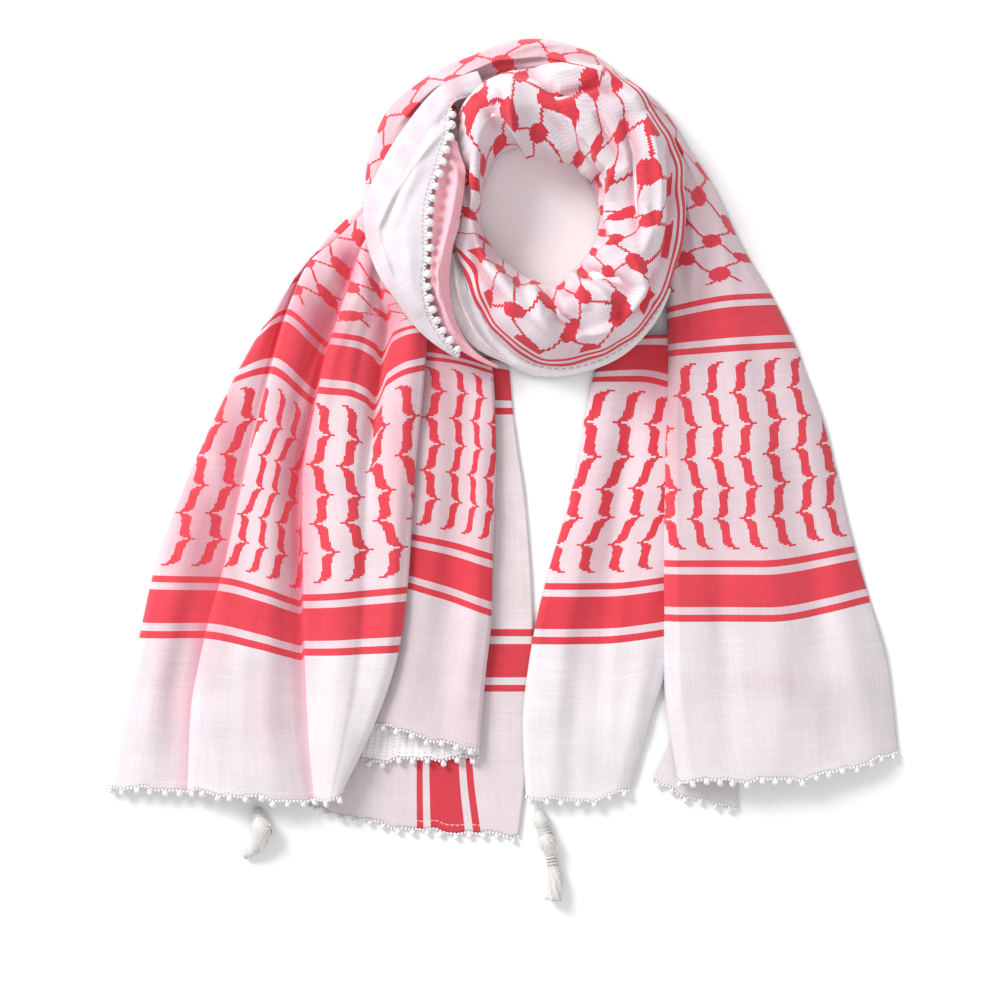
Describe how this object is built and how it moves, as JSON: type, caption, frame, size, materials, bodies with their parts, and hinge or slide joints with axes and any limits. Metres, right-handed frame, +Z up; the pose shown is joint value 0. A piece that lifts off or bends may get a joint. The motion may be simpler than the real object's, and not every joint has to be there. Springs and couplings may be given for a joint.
{
  "type": "headscarf",
  "caption": "Square cotton headscarf wound into one loop with two pleated tails and laid flat, ball edging and corner tassels.",
  "frame": {"origin": "centre of the underside of the whole laid scarf, on the surface it rests on", "axes": "+Z up from the surface, +Y from the hems of the tails towards the neck loop, +X to the right as seen from above with the loop away from the viewer"},
  "size_m": [0.5166, 0.5586, 0.049],
  "materials": {
    "patterned_cotton": "matt red and white jacquard cotton",
    "white_cotton": "matt white plain-weave cotton",
    "crochet_edging": "matt white crochet balls and lace",
    "tassel_yarn": "soft white cotton yarn"
  },
  "bodies": {
    "root": {"inner_roll": "patterned_cotton", "right_wrap": "patterned_cotton", "left_front": "patterned_cotton", "left_side": "patterned_cotton", "left_back": "white_cotton", "left_under": "patterned_cotton", "right_under": "patterned_cotton", "right_flap": "patterned_cotton", "pink_fold": "patterned_cotton", "collar": "white_cotton", "white_fold": "white_cotton", "ring_core": "white_cotton", "left_heap": "white_cotton", "right_heap": "white_cotton", "collar_picots": "crochet_edging", "right_wrap_picots": "crochet_edging", "left_front_picots": "crochet_edging", "left_side_picots": "crochet_edging", "left_back_picots": "crochet_edging", "left_under_picots": "crochet_edging", "right_under_picots": "crochet_edging", "right_flap_picots": "crochet_edging", "tassel_left": "tassel_yarn", "tassel_right": "tassel_yarn"}
  },
  "joints": []
}
